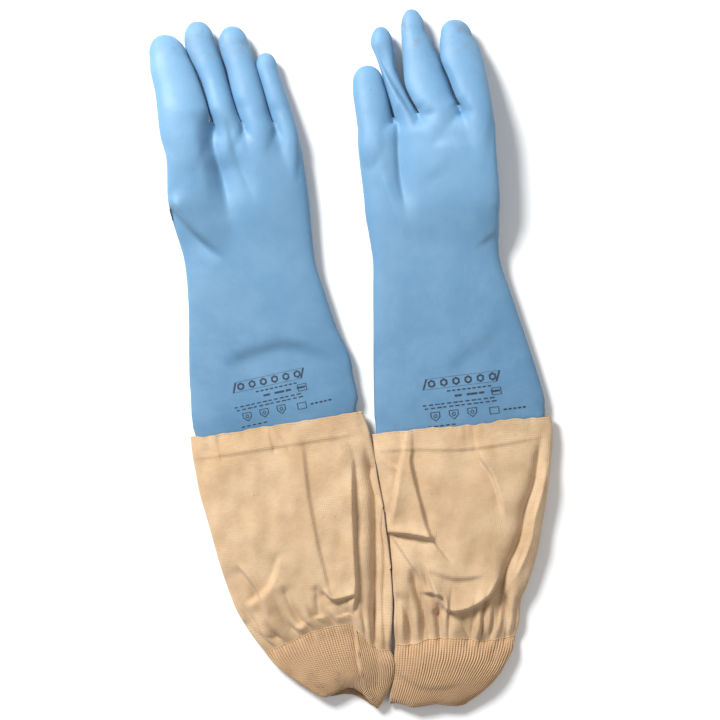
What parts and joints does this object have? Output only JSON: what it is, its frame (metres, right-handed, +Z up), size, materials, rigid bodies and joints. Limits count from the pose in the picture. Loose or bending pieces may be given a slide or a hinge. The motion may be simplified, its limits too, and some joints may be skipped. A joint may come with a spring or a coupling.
{
  "type": "beekeeping gloves",
  "caption": "Pair of long rubber gloves with a cloth sleeve over the cuff and a rib knit cuff, lying flat with the thumbs tucked under.",
  "frame": {"origin": "middle of the pair's footprint, on the surface it lies on", "axes": "+Y towards the fingertips, +Z up, +X from the right-hand glove to the left-hand glove"},
  "size_m": [0.2813, 0.4897, 0.0348],
  "materials": {
    "rubber": "satin light blue dip with a bonded flock lining",
    "cotton": "unbleached plain weave cotton",
    "knit": "unbleached cotton rib knit",
    "thread": "cotton thread and seam tape"
  },
  "bodies": {
    "left_gauntlet": {"left_gauntlet_shell": "rubber", "left_sleeve_hem": "cotton", "left_hem_stitching": "thread"},
    "left_hand": {"left_palm_shell": "rubber"},
    "left_thumb": {"left_thumb_shell": "rubber"},
    "left_index": {"left_index_shell": "rubber"},
    "left_middle": {"left_middle_shell": "rubber"},
    "left_ring": {"left_ring_shell": "rubber"},
    "left_little": {"left_little_shell": "rubber"},
    "left_sleeve": {"left_sleeve": "cotton", "left_side_seam": "thread"},
    "left_cuff": {"left_cuff_stitching": "thread", "left_rib_cuff": "knit"},
    "right_gauntlet": {"right_gauntlet_shell": "rubber", "right_sleeve_hem": "cotton", "right_hem_stitching": "thread"},
    "right_hand": {"right_palm_shell": "rubber"},
    "right_thumb": {"right_thumb_shell": "rubber"},
    "right_index": {"right_index_shell": "rubber"},
    "right_middle": {"right_middle_shell": "rubber"},
    "right_ring": {"right_ring_shell": "rubber"},
    "right_little": {"right_little_shell": "rubber"},
    "right_sleeve": {"right_sleeve": "cotton", "right_side_seam": "thread"},
    "right_cuff": {"right_cuff_stitching": "thread", "right_rib_cuff": "knit"}
  },
  "joints": [
    {"name": "right_glove_lift", "type": "slide", "parent": "left_gauntlet", "child": "right_gauntlet", "axis": [0, 0, 1], "range_m": [0, 0.12]},
    {"name": "left_wrist_fold", "type": "hinge", "parent": "left_gauntlet", "child": "left_hand", "pos_m": [0.05745, 0.08025, 0.018], "axis": [1, 0, 0], "range_deg": [0, 90]},
    {"name": "left_little_lift", "type": "hinge", "parent": "left_hand", "child": "left_little", "pos_m": [0.01508, 0.16354, 0.02076], "axis": [0.9688, 0.169, 0.1811], "range_deg": [0, 80]},
    {"name": "left_ring_lift", "type": "hinge", "parent": "left_hand", "child": "left_ring", "pos_m": [0.03668, 0.16734, 0.02476], "axis": [0.9688, 0.169, 0.1811], "range_deg": [0, 80]},
    {"name": "left_middle_lift", "type": "hinge", "parent": "left_hand", "child": "left_middle", "pos_m": [0.06078, 0.17153, 0.02936], "axis": [0.9688, 0.169, 0.1811], "range_deg": [0, 80]},
    {"name": "left_index_lift", "type": "hinge", "parent": "left_hand", "child": "left_index", "pos_m": [0.08688, 0.17614, 0.03426], "axis": [0.9688, 0.169, 0.1811], "range_deg": [0, 80]},
    {"name": "left_thumb_swing", "type": "hinge", "parent": "left_hand", "child": "left_thumb", "pos_m": [0.1021, 0.111, 0.0064], "axis": [0, 0, -1], "range_deg": [0, 60]},
    {"name": "left_sleeve_fold", "type": "hinge", "parent": "left_gauntlet", "child": "left_sleeve", "pos_m": [0.07863, -0.06754, 0.0156], "axis": [-0.9952, -0.0982, 0], "range_deg": [0, 150]},
    {"name": "left_cuff_fold", "type": "hinge", "parent": "left_sleeve", "child": "left_cuff", "pos_m": [0.07341, -0.1972, 0.012], "axis": [-0.9982, -0.0591, 0], "range_deg": [0, 150]},
    {"name": "right_wrist_fold", "type": "hinge", "parent": "right_gauntlet", "child": "right_hand", "pos_m": [-0.07325, 0.08025, 0.018], "axis": [1, 0, 0], "range_deg": [0, 90]},
    {"name": "right_index_lift", "type": "hinge", "parent": "right_hand", "child": "right_index", "pos_m": [-0.11434, 0.1587, 0.03316], "axis": [0.9831, 0, -0.1832], "range_deg": [0, 80]},
    {"name": "right_middle_lift", "type": "hinge", "parent": "right_hand", "child": "right_middle", "pos_m": [-0.08594, 0.1587, 0.02786], "axis": [0.9831, 0, -0.1832], "range_deg": [0, 80]},
    {"name": "right_ring_lift", "type": "hinge", "parent": "right_hand", "child": "right_ring", "pos_m": [-0.06444, 0.1587, 0.02396], "axis": [0.9831, 0, -0.1832], "range_deg": [0, 80]},
    {"name": "right_little_lift", "type": "hinge", "parent": "right_hand", "child": "right_little", "pos_m": [-0.04404, 0.1587, 0.02036], "axis": [0.9831, 0, -0.1832], "range_deg": [0, 80]},
    {"name": "right_thumb_swing", "type": "hinge", "parent": "right_hand", "child": "right_thumb", "pos_m": [-0.1259, 0.1095, 0.0064], "axis": [0, 0, 1], "range_deg": [0, 60]},
    {"name": "right_sleeve_fold", "type": "hinge", "parent": "right_gauntlet", "child": "right_sleeve", "pos_m": [-0.05043, -0.06749, 0.0156], "axis": [-0.9885, -0.1514, 0], "range_deg": [0, 150]},
    {"name": "right_cuff_fold", "type": "hinge", "parent": "right_sleeve", "child": "right_cuff", "pos_m": [-0.01673, -0.1997, 0.012], "axis": [-0.9935, -0.1135, 0], "range_deg": [0, 150]}
  ]
}
